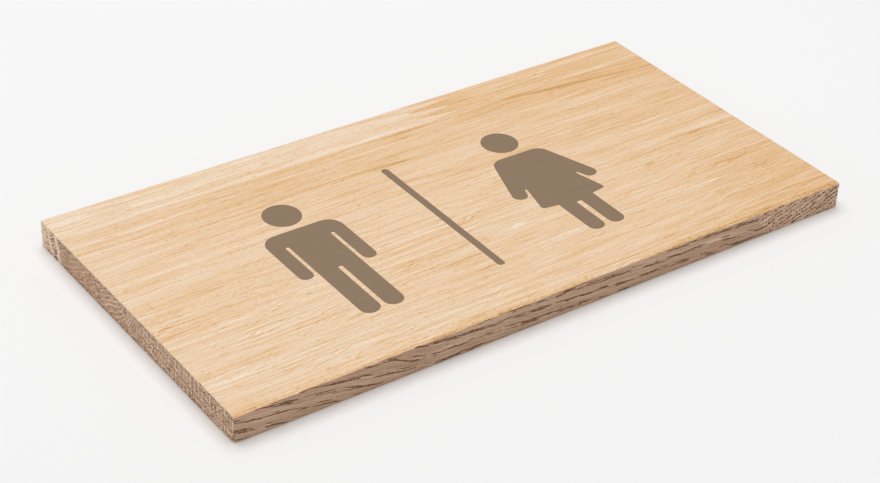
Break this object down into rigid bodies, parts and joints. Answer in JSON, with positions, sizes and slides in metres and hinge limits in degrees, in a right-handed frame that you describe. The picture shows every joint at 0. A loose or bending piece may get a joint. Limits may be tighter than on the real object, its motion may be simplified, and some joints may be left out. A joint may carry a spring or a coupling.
{
  "type": "oak door sign plaque",
  "caption": "Flat rectangular oak plaque of edge-glued, finger-jointed lamellae with brown figure inlays and flush keyhole plates on its back.",
  "frame": {"origin": "centre of the back face, on the plane that lies against the door or wall", "axes": "+X along the grain to the right-hand end as the face is read, +Y to the sign's upper edge, +Z out of the face"},
  "size_m": [0.2, 0.1, 0.008],
  "materials": {
    "oak": "sanded oak, thin matt clear oil",
    "oak_pale": "sanded pale oak, thin matt clear oil",
    "brown_inlay": "flat opaque brown filler, matt",
    "zinc_steel": "zinc-plated steel, satin"
  },
  "bodies": {
    "root": {"lamella_rear_left": "oak", "lamella_rear_middle": "oak_pale", "lamella_rear_right": "oak", "lamella_middle": "oak", "lamella_front_left": "oak", "lamella_front_right": "oak", "man_head": "brown_inlay", "man_body": "brown_inlay", "divider_bar": "brown_inlay", "woman_head": "brown_inlay", "woman_body": "brown_inlay", "hanger_left": "zinc_steel", "hanger_right": "zinc_steel", "hanger_left_screw_left": "zinc_steel", "hanger_left_screw_right": "zinc_steel", "hanger_right_screw_left": "zinc_steel", "hanger_right_screw_right": "zinc_steel"}
  },
  "joints": []
}
